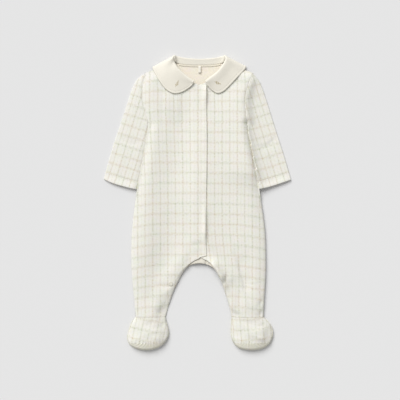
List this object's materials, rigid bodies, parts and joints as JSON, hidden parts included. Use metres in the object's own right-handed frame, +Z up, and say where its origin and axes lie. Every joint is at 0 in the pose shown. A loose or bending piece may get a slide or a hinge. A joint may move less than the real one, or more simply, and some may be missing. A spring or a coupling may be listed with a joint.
{
  "type": "footed baby sleepsuit",
  "caption": "Footed baby sleepsuit in pale checked jersey, laid flat on its back, with a round collar, an overlapping front and soft feet.",
  "frame": {"origin": "middle of the bounding box, on the surface that the suit lies on", "axes": "+Z up out of the suit's front, +Y towards the collar, -Y towards the feet, +X to the right as seen from above"},
  "size_m": [0.346, 0.5427, 0.022],
  "materials": {
    "checked_jersey": "matte brushed cotton jersey, cream with a fine olive and sand check",
    "plain_jersey": "matte plain cream cotton jersey",
    "cotton_tape": "matte woven cotton tape",
    "popper_plastic": "satin cream plastic cap"
  },
  "bodies": {
    "root": {"back": "checked_jersey", "front_over": "checked_jersey", "front_under": "checked_jersey", "placket_band": "plain_jersey", "crotch_band": "plain_jersey", "collar": "plain_jersey", "neck_tape": "cotton_tape", "hanging_loop": "cotton_tape", "sleeve_left": "checked_jersey", "sleeve_right": "checked_jersey", "foot_upper_left": "checked_jersey", "foot_upper_right": "checked_jersey", "sole_left": "checked_jersey", "sole_right": "checked_jersey", "inseam_popper": "popper_plastic"}
  },
  "joints": []
}
